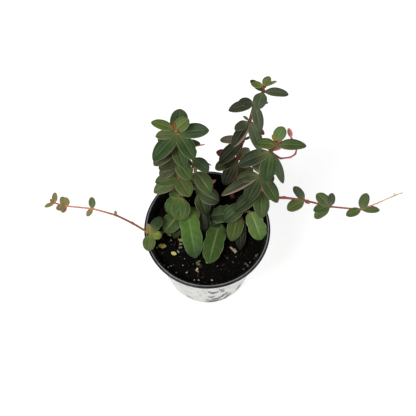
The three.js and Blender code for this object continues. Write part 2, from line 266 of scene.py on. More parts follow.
# Each stem goes from its foot to its tip, through points (x, y, z, radius) in millimetres, each followed by
# the stem's tone and by the leaves there. A leaf is (tones, azimuth, rise, droop, length, width,
# roll), in degrees and millimetres, without the roll where it is 0. Its tones go from its base to its tip;
# "ribbed" gives it a bold midrib, "edged" a pale edge.
STEM_LEFT = [
    ((-18, 18, 80, 2.0), "brown"),
    ((-18, 19, 94, 1.9), "brown",
        ("bright bright fern", -80, 9, 35, 47, 18), ("moss", -50, 8, 30, 16, 11),
        ("deep", -112, -5, 30, 30, 13), ("mid mid mid ribbed", -129, 8, 30, 30, 17),
        ("deep", 143, 10, 30, 18, 12)),
    ((-22, 23, 106, 1.8), "brown",
        ("lime green moss", -93, -2, 30, 21, 16.5), ("bright green green", -133, 0, 30, 18.5, 14),
        ("moss", 165, 15, 30, 11, 8), ("rose", 110, 10, 35, 17, 9)),
    ((-24, 32, 121, 1.7), "khaki",
        ("moss ash ash", -150, 12, 30, 24, 13), ("moss", -63, 35, 40, 22, 14),
        ("moss mid mid", -172, 15, 30, 20, 12), ("ash", -15, 5, 30, 19, 12), ("moss", 50, 10, 35, 17, 11),
        ("ash", 110, 10, 35, 18, 12)),
    ((-24, 38, 142, 1.6), "peach",
        ("dull", -137, 12, 40, 20, 12), ("moss mid mid", -61, 28, 40, 21, 13),
        ("dull dull slate", -158, 12, 30, 17, 11), ("dark", -8, 8, 30, 12, 8), ("dark", 85, 10, 35, 19, 12),
        ("dull", 135, 10, 35, 17, 11)),
    ((-25, 42, 162, 1.5), "khaki",
        ("dark mid dark", -72, 28, 40, 23, 12), ("dull", -140, 6, 40, 24, 13),
        ("red cherry cherry", -4, -6, -40, 24.5, 5, -50), ("cool", 4, 21, 35, 20, 9, -10),
        ("dark", 75, 15, 35, 18, 12), ("dark", 150, 12, 35, 17, 11)),
    ((-23, 45, 177, 1.5), "peach",
        ("mid pine cool", 6, 17, 30, 25, 14), ("mid fern dark", -58, 8, 40, 25, 13),
        ("mid fern fern", -135, -2, 30, 29, 14), ("ash", -171, 17, 30, 18, 9),
        ("khaki fern cool", 84, 35, 30, 20, 14.5)),
    ((-25, 45, 183, 1.3), "peach",
        ("lime", 168, 33, 35, 20, 9), ("lime lime moss", 31, 35, 20, 14, 12), ("orange", 105, 50, 30, 6, 4),
        ("peach", -60, 60, 20, 5, 4)),
]

STEM_MIDDLE = [
    ((-5, 24, 80, 1.8), "brown"),
    ((-6, 25, 91, 1.8), "brown",
        ("night shade night", -82, 0, 35, 32, 12), ("shade", -50, 4, 30, 18, 13),
        ("deep", 30, 5, 30, 17, 11)),
    ((-8, 28, 104, 1.7), "dull",
        ("ash cool iron ribbed", -24, 8, 30, 20, 15), ("ash deep shade", -68, -5, 30, 21, 13),
        ("coral", 38, 10, 30, 20, 4), ("mid", 110, 10, 30, 18, 12)),
    ((-10, 38, 124, 1.5), "khaki",
        ("ash mid mid ribbed", -54, 5, 40, 23, 14), ("dark", 80, 5, 35, 12, 9)),
    ((-12, 43, 138, 1.3), "peach",
        ("moss pine pine", -42, 22, 50, 18, 11), ("dark dark rose", -14, -4, 30, 17, 7, -60),
        ("dark", 100, 15, 40, 11, 9)),
    ((-12, 44, 143, 1.1), "orange",
        ("moss", -80, 55, 20, 8, 6), ("lime", 110, 60, 20, 7, 5), ("moss", 150, 55, 20, 8, 6)),
]

STEM_TALL = [
    ((22, 35, 80, 2.3), "rust"),
    ((24, 41, 104, 2.1), "red", ("dull", 35, 10, 35, 19, 12), ("moss", 100, 10, 35, 18, 12)),
    ((25, 49, 124, 2.0), "rust",
        ("dull shade night", -119, -5, 30, 24.5, 12), ("deep night moss", -158, 10, 40, 20.5, 11),
        ("rust pale pale", 38, 34, 30, 14, 9), ("wine", 162, 28, 40, 19, 9), ("dull", 10, 5, 35, 18, 11)),
    ((29, 55, 146, 1.9), "rust",
        ("iron shade night", -139, -2, 35, 27, 12), ("dull drab drab", 179, 21, 40, 19, 8),
        ("khaki", 20, 30, 20, 9, 2.5)),
    ((34, 61, 168, 1.7), "rust",
        ("iron shade iron edged", -127, -5, 30, 25, 10), ("cool slate slate", -152, 6, 30, 14, 8),
        ("cool", -70, 0, 35, 26, 10), ("wine", -42, 4, 30, 16, 8, 70), ("drab", 140, 20, 20, 7, 2.5)),
    ((37, 66, 187, 1.6), "brown",
        ("slate", -165, 15, 35, 21.5, 10), ("cool", -78, -3, 35, 23, 9), ("slate", 0, 25, 30, 11, 3.5),
        ("slate", 172, 20, 35, 13, 8)),
    ((43, 68, 202, 1.4), "rust",
        ("cool", -9, 22, 40, 20, 8), ("cool", -110, 8, 40, 15, 11), ("slate", 143, 35, 30, 13.5, 6)),
    ((43, 69, 208, 1.1), "orange",
        ("orange lime lime", 52, 42, 20, 9, 7), ("young lime lime", 170, 22, 30, 10, 6),
        ("orange ash pale", 16, 27, 20, 11, 3), ("orange", -90, 55, 20, 5, 4)),
]

STEM_RIGHT = [
    ((27, 12, 80, 2.1), "rust"),
    ((28, 14, 93, 2.0), "rust",
        ("dull olive olive", -107, 5, 30, 27, 14), ("moss shade night", -89, -7, 30, 33, 10),
        ("dark dark shade", -171, 14, 35, 26, 16), ("mid", 60, 10, 30, 20, 12)),
    ((32, 18, 102, 2.0), "rust", ("bronze dark deep", -142, 0, 30, 24, 14)),
    ((45, 26, 112, 1.9), "cherry",
        ("moss mid mid", -88, 2, 35, 24, 14), ("ash deep deep", -142, 2, 35, 29, 13),
        ("deep", 150, 10, 35, 20, 12), ("dark", 60, 10, 35, 20, 12)),
    ((44, 30, 133, 1.8), "rust",
        ("dark deep deep", -120, -5, 35, 26, 13), ("dull dark mid", -57, 0, 35, 27, 12),
        ("ash dull dark", -172, 10, 30, 20, 10), ("iron slate dull edged", -155, 6, 35, 37, 9),
        ("pale dull dull", 100, 10, 35, 19, 12), ("dark", 30, 10, 35, 19, 12)),
    ((51, 40, 156, 1.6), "rust",
        ("mid fern fern", -100, 0, 40, 25, 14), ("ash iron iron", -160, 4, 35, 29, 13),
        ("cool", -67, -4, 35, 28, 8), ("dark", 100, 5, 35, 13, 10), ("pink", 50, 10, 35, 15, 10)),
    ((55, 40, 167, 1.4), "orange",
        ("ash mid mid", -7, 27, 35, 24, 10), ("lime moss dark", 176, 20, 35, 17, 10)),
    ((54, 41, 172, 1.2), "orange",
        ("lime sage sage", 58, 35, 20, 13, 10.5), ("mustard", 120, 35, 20, 6, 4),
        ("orange", -90, 55, 20, 5, 4)),
]

PALE_STALK = [
    ((28, 14, 93, 1.2), "khaki"),
    ((36.5, 13.5, 96, 1.1), "khaki", ("sage sage bright ribbed", -68, 4, 40, 27, 16)),
]

RUNNER_RIGHT = [
    ((45, 27, 112, 2.0), "wine"),
    ((53, 22, 105, 1.9), "red"),
    ((66, 24, 101, 1.4), "cherry"),
    ((83, 22, 100, 1.1), "red",
        ("cool", 128, 22, 20, 15, 8), ("moss", -152, 5, 30, 17, 11), ("rose", -40, 30, 30, 6, 4)),
    ((105, 17, 98, 1.0), "red",
        ("ash", 136, 18, 20, 16, 11), ("cool", 80, 25, 20, 12, 7), ("mid", -166, 8, 20, 15, 9),
        ("ash", -150, -8, 40, 17, 9)),
    ((131, 14, 99, 0.9), "cherry",
        ("ash", 68, 25, 20, 15, 9), ("moss", -158, 5, 20, 14, 8), ("ash", -4, 12, 20, 16, 7)),
    ((146, 19, 102, 0.7), "straw"),
    ((159, 24, 105, 0.6), "straw", ("straw", 95, 50, 20, 2.6, 1.2)),
    ((166, 26, 107, 0.5), "straw"),
]

RED_SHOOT = [
    ((51, 40, 156, 1.1), "rust"),
    ((59, 36, 152, 0.9), "red"),
    ((67, 37, 152, 0.8), "cherry"),
    ((71, 39, 154, 0.8), "red"),
    ((72, 43, 158, 0.7), "red"),
    ((67, 48, 165, 0.8), "cherry", ("pink", 110, 40, 20, 8, 4.2, 150)),
]

RUNNER_LEFT = [
    ((-34, 3, 80, 1.5), "lime"),
    ((-40, -3, 87, 1.4), "lime"),
    ((-48, -8, 98, 1.3), "mustard",
        ("lime deep deep", 56, 25, 20, 17, 9), ("lime young lime", -12, 5, 20, 10, 8),
        ("lime moss moss", -97, 5, 40, 15, 11), ("mustard khaki khaki", 107, 28, 10, 9, 5)),
    ((-63, 0, 102, 1.1), "red"),
    ((-77, 6.5, 104, 1.0), "red", ("khaki", 100, 40, 20, 4, 2.5)),
    ((-97, 12, 105, 0.9), "coral", ("ash", 95, 25, 10, 10, 6), ("khaki", -130, -10, 20, 8, 5)),
    ((-119, 14, 106, 0.9), "coral",
        ("khaki", 86, 50, 10, 8, 6), ("rose", -139, -20, 20, 7, 6), ("moss khaki khaki", 123, 30, 10, 9, 7),
        ("khaki", -163, 8, 10, 9, 7)),
    ((-129, 16, 108, 0.7), "cherry",
        ("khaki", 87, 25, 10, 9, 5), ("mustard khaki khaki", -158, 0, 10, 9, 4),
        ("peach", 150, 40, 20, 5, 3)),
]

SHOOT_FRONT = [
    ((9, 7, 80, 1.8), "rust"),
    ((11, 8, 85, 1.6), "orange",
        ("green green green ribbed", -104, 20, 30, 41, 18), ("deep", -140, 40, 30, 11, 9),
        ("shade", 112, 14, 30, 14, 11), ("deep", 40, 10, 30, 12, 10)),
    ((11, 9, 88, 1.2), "mustard", ("mid", -140, 45, 30, 8, 6), ("moss", 20, 45, 30, 7, 5)),
]

# Each plant's stems, the planted one first, and the finish of its leaves
PLANTS = {
    "stem_left": ([STEM_LEFT], "leaf_dark"),
    "stem_middle": ([STEM_MIDDLE], "leaf_dark"),
    "stem_tall": ([STEM_TALL], "leaf_dark"),
    "stem_right": ([STEM_RIGHT, PALE_STALK, RUNNER_RIGHT, RED_SHOOT], "leaf_dark"),
    "runner_left": ([RUNNER_LEFT], "leaf_olive"),
    "shoot_front": ([SHOOT_FRONT], "leaf_bright"),
}


def linear(tone):
    """The linear red, green and blue of a named tone."""
    return np.array([((c / 255 + 0.055) / 1.055) ** 2.4 for c in TONES[tone]])


# Materials

class Paint:
    """A node material, written as a short recipe."""

    def __init__(self, name, **sockets):
        self.material = bpy.data.materials.new(name)
        self.material.use_nodes = True
        self.tree = self.material.node_tree
        self.shader = self.tree.nodes["Principled BSDF"]
        for socket, value in sockets.items():
            self.shader.inputs[socket.replace("_", " ")].default_value = value

    def node(self, kind, values=None, **settings):
        """A new node, with its settings and its inputs' values or links."""
        node = self.tree.nodes.new("ShaderNode" + kind)
        for setting, value in settings.items():
            setattr(node, setting, value)
        for socket, value in (values or {}).items():
            if isinstance(value, bpy.types.NodeSocket):
                self.tree.links.new(value, node.inputs[socket])
            else:
                node.inputs[socket].default_value = value
        return node

    def math(self, operation, first, second=0.0, third=0.0):
        """One sum on up to three numbers or sockets."""
        return self.node("Math", {0: first, 1: second, 2: third}, operation=operation).outputs[0]

    def times(self, *values):
        """The product of numbers or sockets."""
        product = values[0]
        for value in values[1:]:
            product = self.math("MULTIPLY", product, value)
        return product

    def ramp(self, value, start, end, low=0.0, high=1.0):
        """A smooth step from low at start to high at end."""
        values = {"Value": value, "From Min": start, "From Max": end, "To Min": low, "To Max": high}
        return self.node("MapRange", values, interpolation_type="SMOOTHSTEP").outputs["Result"]

    def mix(self, share, first, second, blend="MIX"):
        """The first colour, with a share of the second mixed in."""
        values = {0: share, 6: first, 7: second}
        return self.node("Mix", values, data_type="RGBA", blend_type=blend).outputs[2]

    def noise(self, scale, detail=3.0, stretch=None, place=None):
        """Noise from 0 to 1 at the point, or at another place, stretched along its axes if asked."""
        place = place or self.place()
        if stretch:
            place = self.node("Mapping", {"Vector": place, "Scale": stretch}).outputs[0]
        return self.node("TexNoise", {"Vector": place, "Scale": scale, "Detail": detail}).outputs["Fac"]

    def place(self):
        """The point on the object, in metres."""
        return self.node("TexCoord").outputs["Object"]

    def millimetres(self):
        """How far the point lies to the right, to the back and up, in millimetres."""
        point = self.node("SeparateXYZ", {0: self.place()})
        return [self.times(output, 1000.0) for output in point.outputs]

    def length(self, first, second):
        """The length of a step that goes so far one way and so far across it."""
        squares = self.math("ADD", self.times(first, first), self.times(second, second))
        return self.math("SQRT", squares)

    def marked(self, name, output="Fac"):
        """What an attribute of the mesh says at the point."""
        return self.node("Attribute", attribute_name=name).outputs[output]

    def scaled(self, colour, share):
        """A colour multiplied by a share of each of its parts."""
        return self.mix(1.0, colour, (*share, 1), "MULTIPLY")

    def bump(self, height, distance, strength):
        """Fine relief of the surface."""
        node = self.node("Bump", {"Height": height, "Distance": distance, "Strength": strength})
        self.into("Normal", node.outputs[0])

    def into(self, socket, value):
        """Links a value to the shader."""
        self.tree.links.new(value, self.shader.inputs[socket])


# Colours of the leaves that don't follow their tones: the hairs, the margin with its painted rim highlight,
# a pale strip along the edge, the underside from blotch to blotch, and the midrib under it
PALE_HAIRS = (0.2, 0.21, 0.12, 1)
MARGIN_AND_RIM_LIGHT = (0.42, 0.44, 0.3, 1)
EDGE_STRIP = (0.28, 0.2, 0.155, 1)
UNDERSIDE = ((0.3, 0.11, 0.1, 1), (0.2, 0.12, 0.08, 1))
UNDER_RIB = (0.45, 0.22, 0.18, 1)

# Colours of the pot: black and dusty, with painted streaks of reflection in the dusty grey, a painted
# highlight on the lip, white and dull white, and scuffed
BLACKS = ((0.006, 0.0065, 0.007, 1), (0.026, 0.026, 0.026, 1))
PAINTED_LIP_HIGHLIGHT = (0.24, 0.24, 0.245, 1)
WHITES = ((0.64, 0.64, 0.61, 1), (0.53, 0.53, 0.5, 1))
SCUFFED = (0.018, 0.017, 0.014, 1)

# Colours of the peat: its dark and its light grains, each from patch to patch, and its fibres
DARK_PEAT = ((0.0018, 0.0013, 0.001, 1), (0.0016, 0.0017, 0.0014, 1))
LIGHT_PEAT = ((0.019, 0.0125, 0.008, 1), (0.0095, 0.0095, 0.0072, 1))
FIBRES = (0.06, 0.044, 0.028, 1)


def leaf_paint():
    """Velvety leaves: a pale midrib, faint side veins, a thin pale margin partly painted as a rim
    highlight, painted light on the lobes of broad leaves, and a rose underside.
    """
    paint = Paint("leaf", Roughness=0.42, Specular_IOR_Level=0.08)
    tone = paint.marked("tone", "Color")
    rib = paint.marked("rib")
    edged = paint.marked("edged")
    broad = paint.marked("broad")
    blade = paint.node("SeparateXYZ", {0: paint.node("UVMap", uv_map="UVMap").outputs[0]})
    along = blade.outputs["X"]
    sideways = paint.math("MULTIPLY_ADD", blade.outputs["Y"], 2.0, -1.0)
    across = paint.math("ABSOLUTE", sideways)
    blotches = paint.ramp(paint.noise(230), 0.32, 0.68)
    cells = paint.ramp(paint.noise(1500), 0.35, 0.65)
    seed = paint.marked("seed")
    stripes = paint.node("CombineXYZ", {
        0: paint.times(along, 3.0), 1: paint.times(sideways, 5.0), 2: paint.times(seed, 40.0)})
    stripes = paint.ramp(paint.noise(1.6, 4.0, place=stripes.outputs[0]), 0.38, 0.66)
    fading = paint.ramp(along, 1.0, 0.6)
    width = paint.math("MULTIPLY_ADD", rib, 0.1, 0.09)
    midrib = paint.times(paint.ramp(paint.math("DIVIDE", across, width), 1.0, 0.25), fading)
    midrib = paint.times(midrib, paint.math("MULTIPLY_ADD", rib, 0.4, 0.6))
    # Broad leaves have veins that branch off sideways, one to each lobe. The others have one in each half
    lobes = paint.math("SUBTRACT", paint.math("DIVIDE", along, LOBE_LENGTH), paint.times(across, 0.7))
    lobes = paint.math("PINGPONG", lobes, 0.5)
    pinnate = paint.times(paint.ramp(lobes, 0.1, 0.01), paint.ramp(across, 0.95, 0.3), 0.55)
    single = paint.ramp(paint.math("ABSOLUTE", paint.math("SUBTRACT", across, 0.46)), 0.07, 0.01)
    narrow = paint.math("SUBTRACT", 1.0, broad)
    side = paint.math("ADD", paint.times(pinnate, broad), paint.times(single, narrow))
    side = paint.times(side, fading)
    # Broad leaves are painted lighter between their side veins: painted light on the bulging lobes
    painted_lobe_light = paint.times(paint.ramp(lobes, 0.3, 0.5), broad)
    streaked = paint.math("MULTIPLY_ADD", broad, -0.25, 0.32)
    foot = paint.times(paint.ramp(along, 0.45, 0.0), paint.ramp(across, 1.3, 0.0))
    # The pale margin is partly the hairy edge and partly a painted rim highlight
    margin_and_rim_light = paint.ramp(across, 0.87, 0.95)
    lighter = paint.mix(0.35, paint.scaled(tone, (2.3, 2.1, 2.0)), PALE_HAIRS)
    strip = paint.ramp(sideways, 0.55, 0.72)
    # Each layer is laid over the ones before it: (share, colour)
    layers = (
        (paint.times(blotches, 0.6), paint.scaled(tone, (0.7, 0.76, 0.68))),
        (paint.times(stripes, streaked), paint.scaled(tone, (1.5, 1.42, 1.45))),
        (paint.times(painted_lobe_light, 0.3), paint.scaled(tone, (1.5, 1.4, 1.45))),
        (paint.times(cells, 0.16), lighter),
        (paint.times(foot, 0.65), lighter),
        (paint.times(side, 0.25), lighter),
        (midrib, lighter),
        (paint.times(margin_and_rim_light, 0.9), paint.mix(0.25, lighter, MARGIN_AND_RIM_LIGHT)),
        (paint.times(edged, strip, 0.8), EDGE_STRIP),
    )
    top = tone
    for share, colour in layers:
        top = paint.mix(share, top, colour)
    below = paint.mix(blotches, *UNDERSIDE)
    below = paint.mix(paint.times(midrib, 0.8), below, UNDER_RIB)
    paint.into("Base Color", paint.mix(paint.marked("under"), top, below))
    fuzz = paint.noise(4200, 2.0)
    relief = paint.math("MULTIPLY_ADD", cells, 0.4, fuzz)
    paint.bump(paint.math("MULTIPLY_ADD", midrib, -1.2, relief), 0.00012, 0.4)
    return paint.material


def stem_paint():
    """Stems: skin with fine upright streaks and a faint sheen of hairs."""
    paint = Paint("stem", Roughness=0.5, Specular_IOR_Level=0.25, Sheen_Weight=0.08, Sheen_Roughness=0.4)
    tone = paint.marked("tone", "Color")
    streaks = paint.ramp(paint.noise(700, 4.0, (1, 1, 0.2)), 0.35, 0.65)
    darker, lighter = paint.scaled(tone, (0.7, 0.62, 0.62)), paint.scaled(tone, (1.25, 1.2, 1.15))
    paint.into("Base Color", paint.mix(streaks, darker, lighter))
    paint.bump(paint.noise(2600, 3.0), 0.0002, 0.5)
    return paint.material


def pot_black():
    """Black plastic of the inside and the lip, dusty with dried soil, with painted upright streaks of
    reflection and a painted highlight ring on top of the lip.
    """
    paint = Paint("pot_black", Specular_IOR_Level=0.32)
    # Blotches of real dust, with upright light streaks laid in that are painted reflections
    dust_and_reflection = paint.ramp(paint.noise(160, 6.0), 0.48, 0.78)
    dust_and_reflection = paint.math("MAXIMUM", dust_and_reflection, paint.ramp(paint.noise(420, 4.0, (1, 1, 0.1)), 0.55, 0.75))
    right, back, height = paint.millimetres()
    # A thin light ring on top of the lip is a painted highlight
    off = paint.math("ABSOLUTE", paint.math("SUBTRACT", paint.length(right, back), LIP_HIGHLIGHT_RADIUS))
    lip_highlight = paint.times(paint.ramp(off, 0.55, 0.2), paint.ramp(height, *LIP_HIGHLIGHT_HEIGHTS))
    lip_highlight = paint.times(lip_highlight, paint.ramp(paint.noise(60, 4.0), 0.25, 0.6, 0.35, 1.0))
    paint.into("Base Color", paint.mix(lip_highlight, paint.mix(dust_and_reflection, *BLACKS), PAINTED_LIP_HIGHLIGHT))
    paint.into("Roughness", paint.ramp(dust_and_reflection, 0.0, 1.0, 0.22, 0.5))
    paint.bump(paint.noise(900, 4.0), 0.00012, 0.4)
    return paint.material


def pot_white():
    """White plastic outside, with dark scuffs at the front and darker specks towards its foot."""
    paint = Paint("pot_white", Specular_IOR_Level=0.2)
    right, back, height = paint.millimetres()
    angle = paint.math("ARCTAN2", right, paint.times(back, -1.0))
    angle = paint.times(angle, degrees(1))
    clouds = paint.ramp(paint.noise(130, 6.0), 0.35, 0.7)
    rough = paint.noise(260, 6.0)
    marks = None
    for at, level, reach, tall, rise, bend, strength in WALL_SCUFFS:
        aside = paint.math("SUBTRACT", angle, at)
        curve = paint.times(aside, paint.math("MULTIPLY_ADD", aside, bend, rise))
        off = paint.math("SUBTRACT", paint.math("SUBTRACT", height, level), curve)
        aside, off = paint.math("DIVIDE", aside, reach), paint.math("DIVIDE", off, tall)
        away = paint.math("SUBTRACT", paint.length(aside, off), 0.8)
        away = paint.math("MULTIPLY_ADD", rough, 1.6, away)
        mark = paint.times(paint.ramp(away, 1.35, 0.45), strength)
        marks = mark if marks is None else paint.math("MAXIMUM", marks, mark)
    # Darker specks towards the foot
    foot = paint.times(paint.ramp(height, 5, 0.5), paint.ramp(paint.noise(90, 4.0), 0.35, 0.6))
    marks = paint.math("MAXIMUM", marks, paint.times(foot, 0.6))
    # The scuffs are made of specks, which lie closer together towards their middle
    specks = paint.math("MULTIPLY_ADD", marks, 0.36, paint.noise(900, 6.0, (1, 1, 0.6)))
    marks = paint.ramp(specks, 0.66, 0.76)
    paint.into("Base Color", paint.mix(marks, paint.mix(clouds, *WHITES), SCUFFED))
    paint.into("Roughness", paint.ramp(clouds, 0.0, 1.0, 0.36, 0.5))
    paint.bump(paint.noise(700, 4.0), 0.0001, 0.3)
    return paint.material


def soil_paint():
    """Nearly black peat, with brown fibres."""
    paint = Paint("soil", Roughness=0.9, Specular_IOR_Level=0.08)
    grains = paint.ramp(paint.noise(1100, 5.0), 0.5, 0.75)
    patches = paint.ramp(paint.noise(95, 3.0), 0.42, 0.62)
    peat = paint.mix(grains, paint.mix(patches, *DARK_PEAT), paint.mix(patches, *LIGHT_PEAT))
    fibre = paint.ramp(paint.noise(900, 2.0, (1, 0.25, 1)), 0.68, 0.76)
    paint.into("Base Color", paint.mix(paint.times(fibre, 0.8), peat, FIBRES))
    paint.bump(paint.noise(2400, 5.0), 0.0006, 0.8)
    return paint.material


def speckled(name, first, second, scale, shine):
    """A rough finish of peat, bark, wood or stone, mottled between two colours."""
    paint = Paint(name, Roughness=0.85, Specular_IOR_Level=shine)
    mottling = paint.ramp(paint.noise(scale, 4.0), 0.35, 0.65)
    paint.into("Base Color", paint.mix(mottling, first, second))
    paint.bump(paint.noise(2 * scale, 4.0), 0.0003, 0.6)
    return paint.material


# Modelling helpers

def add_object(name, data):
    """An object that shows the data, linked into the scene."""
    thing = bpy.data.objects.new(name, data)
    bpy.context.collection.objects.link(thing)
    return thing


def choose(*things):
    """Selects these objects alone, and makes the first one active."""
    for thing in bpy.context.view_layer.objects:
        thing.select_set(False)
    for thing in things:
        thing.select_set(True)
    bpy.context.view_layer.objects.active = things[0]


def edit(thing):
    """Opens an object in edit mode, with vertices as the selection."""
    choose(thing)
    bpy.ops.object.mode_set(mode="EDIT")
    bpy.ops.mesh.select_mode(type="VERT")


def pick_all():
    """Selects the whole of the edited mesh."""
    bpy.ops.mesh.select_all(action="SELECT")


def pick(test):
    """Selects the vertices of the edited mesh whose places pass a test."""
    mesh = bpy.context.edit_object.data
    shape = bmesh.from_edit_mesh(mesh)
    for vert in shape.verts:
        vert.select_set(bool(test(vert.co)))
    shape.select_flush(True)
    bmesh.update_edit_mesh(mesh)


def leave():
    """Leaves edit mode, with the faces turned outwards."""
    pick_all()
    bpy.ops.mesh.normals_make_consistent(inside=False)
    bpy.ops.object.mode_set(mode="OBJECT")


def apply_modifier(thing, kind, **settings):
    """Adds a modifier and applies it."""
    choose(thing)
    modifier = thing.modifiers.new(kind.lower(), kind)
    for setting, value in settings.items():
        setattr(modifier, setting, value)
    bpy.ops.object.modifier_apply(modifier=modifier.name)


def join(name, things):
    """Joins objects into one, under a new name."""
    choose(*things)
    if len(things) > 1:
        bpy.ops.object.join()
    joined = bpy.context.view_layer.objects.active
    joined.name = joined.data.name = name
    return joined


def smooth(thing):
    """Shades the whole piece smooth."""
    choose(thing)
    bpy.ops.object.shade_smooth()


def finish_piece(piece, paint, slot, *nodes):
    """Gives a finished piece its material, ties it to its body, and hides the CAD nodes it stands for; its
    slot is not used.
    """
    piece.data.materials.append(paint)
    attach(piece, "root")
    if nodes:
        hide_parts(*nodes)


# Leaves

def fullness(kind, part):
    """The share of a blade's half width at a part of its length."""
    return np.interp(part, BLADE_STATIONS, OUTLINES[kind])


def make_blade(kind):
    """A flat blade, one long, two wide and one thick, with its outline and rows of faces for its veins."""
    bpy.ops.mesh.primitive_grid_add(
        x_subdivisions=len(BLADE_STATIONS) - 1, y_subdivisions=len(BLADE_LANES) - 1, size=2, calc_uvs=True)
    blade = bpy.context.object
    blade.name = "blade_" + kind
    edit(blade)
    centre = {"center_override": (0, 0, 0)}
    columns = np.linspace(-1, 1, len(BLADE_STATIONS))
    rows = np.linspace(-1, 1, len(BLADE_LANES))
    for row, lane in zip(rows, BLADE_LANES):
        if abs(row) > 0.01:
            pick(lambda co, row=row: abs(co.y - row) < 0.01)
            bpy.ops.transform.resize(value=(1, lane / row, 1), **centre)
    # Each column is lifted when it is placed, so that it isn't picked again
    for column, part in zip(columns, BLADE_STATIONS):
        pick(lambda co, column=column: abs(co.x - column) < 0.01 and abs(co.z) < 0.5)
        bpy.ops.transform.resize(value=(1, float(fullness(kind, part)), 1), **centre)
        bpy.ops.transform.translate(value=(part - column, 0, 2))
    pick_all()
    bpy.ops.transform.translate(value=(0, 0, -2.5))
    bpy.ops.mesh.extrude_region_move(TRANSFORM_OT_translate={"value": (0, 0, 1)})
    leave()
    mesh = blade.data
    bpy.data.objects.remove(blade)
    return mesh


def kind_of(length, width):
    """The outline that a leaf of this size has."""
    if length <= SMALL_LENGTH:
        return "small"
    if length <= SHORT_LENGTH:
        return "short"
    return "broad" if width >= BROAD_WIDTH else "long"


def mark(mesh, name, values):
    """Gives each point of the mesh a number for its material."""
    mesh.attributes.new(name, "FLOAT", "POINT").data.foreach_set("value", values.astype(np.float32))


def mark_tones(mesh, colours):
    """Gives each point of the mesh its colour, as a row of red, green, blue and alpha."""
    mesh.attributes.new("tone", "FLOAT_COLOR", "POINT").data.foreach_set("color", np.ravel(colours))


def paint_leaf(mesh, words, kind, part, layer, dice):
    """Marks a leaf's tones from its base to its tip, its underside, its midrib, its edge and its kind."""
    tones = np.array([linear(word) for word in words if word in TONES])
    steps = np.linspace(0, 1, len(tones))
    shade = LEAF_GAIN * dice.uniform(*SHADE_SPREAD)
    colours = np.ones((len(part), 4))
    for channel in range(3):
        colours[:, channel] = shade * np.interp(part, steps, tones[:, channel])
    mark_tones(mesh, colours)
    same = np.ones(len(part))
    mark(mesh, "under", same * (layer < 0) * (words[0] not in RED_TONES))
    mark(mesh, "rib", same * (1.0 if "ribbed" in words else dice.uniform(*FAINT_RIB)))
    mark(mesh, "edged", same * ("edged" in words))
    mark(mesh, "broad", same * (kind == "broad"))
    mark(mesh, "seed", same * dice.random())


def add_leaf(blades, knot, leaf, dice):
    """A copy of the blade, laid along the arc of one leaf."""
    tone, azimuth, rise, droop, length, width = leaf[:6]
    roll = leaf[6] if len(leaf) > 6 else 0
    *foot, radius = knot
    kind = kind_of(length, width)
    mesh = blades[kind].copy()
    flat = np.empty(3 * len(mesh.vertices))
    mesh.vertices.foreach_get("co", flat)
    part, wide, layer = flat.reshape(-1, 3).T
    share = fullness(kind, part)
    across = wide / share
    heading, start, bend = (radians(a) for a in (azimuth, rise, droop))
    ahead = np.array((cos(heading), sin(heading), 0))
    level = np.array((-ahead[1], ahead[0], 0))
    root = max(0, (SWELLING * radius - ROOT_SUNK) / length)
    along = root + (1 - root) * part
    slope = start - bend * along
    out = length / bend * (sin(start) - np.sin(slope))
    lift = length / bend * (np.cos(slope) - cos(start))
    tangent = ahead * np.cos(slope)[:, None]
    tangent[:, 2] = np.sin(slope)
    turn = radians(roll)
    side = level * cos(turn) + np.cross(tangent, level) * sin(turn)
    face = np.cross(tangent, side)
    half = 0.5 * width * share
    body = np.clip((part - STALK_END) / BODY_GROWS, 0, 1) * np.clip((BODY_END - part) / BODY_FADES, 0, 1)
    # The two halves rise from the midrib, swell a little, and turn down at the edge
    fold = BLADE_FOLD * half * (np.sqrt(across ** 2 + FOLD_ROUND ** 2) - FOLD_ROUND)
    swell = SWELL * width * body * np.sin(pi * np.abs(across))
    edge = -EDGE_TURN * half * np.abs(across) ** 5
    phase = dice.uniform(0, 2 * pi)
    ripple = RIPPLE * width * body * across * np.sin(RIPPLES * pi * part + phase)
    wave = 0
    if kind == "broad":
        wave = EDGE_WAVE * np.abs(across) * body * np.cos(2 * pi * (part - LOBE_PEAK) / LOBE_LENGTH)
    stalk = np.clip((STALK_FADED - part) / STALK_FADES, 0, 1)
    thick = BLADE_THICK * (1 - stalk) + STALK_THICK * stalk - EDGE_THINNER * across ** 2
    thick = thick * (THINNEST + (1 - THINNEST) * min(1, length / THICK_FROM))
    up = fold + swell + edge + ripple + wave + layer * thick
    middle = np.array(foot) + ahead * out[:, None]
    middle[:, 2] += lift
    spots = middle + side * (wide * 0.5 * width)[:, None] + face * up[:, None]
    mesh.vertices.foreach_set("co", (spots * MM).ravel())
    paint_leaf(mesh, tone.split(), kind, part, layer, dice)
    return add_object("leaf", mesh)


# Stems

def centre_line(knots):
    """Points along a stem as (x, y, z, radius), each with how many knots it has passed."""
    ends = [2 * knots[0] - knots[1]] + knots + [2 * knots[-1] - knots[-2]]
    spans = len(knots) - 1
    line = []
    for span in range(spans):
        before, first, second, after = ends[span:span + 4]
        leave_first = STEM_BEND * (second - before)
        reach_second = STEM_BEND * (after - first)
        steps = STEM_STEPS + (span == spans - 1)
        for step in range(steps):
            t = step / STEM_STEPS
            spot = (first * (2 * t ** 3 - 3 * t ** 2 + 1) + second * (3 * t ** 2 - 2 * t ** 3)
                    + leave_first * (t ** 3 - 2 * t ** 2 + t) + reach_second * (t ** 3 - t ** 2))
            spot[3] = first[3] + (second[3] - first[3]) * t
            nearest = min(t, 1 - t) * np.linalg.norm((second - first)[:3])
            swollen = (span > 0 or t > 0.5) * exp(-(nearest / NODE_REACH) ** 2)
            spot[3] *= SLIMMER + (NODE_SWELLING - SLIMMER) * swollen
            line.append((spot, span + t))
    return line


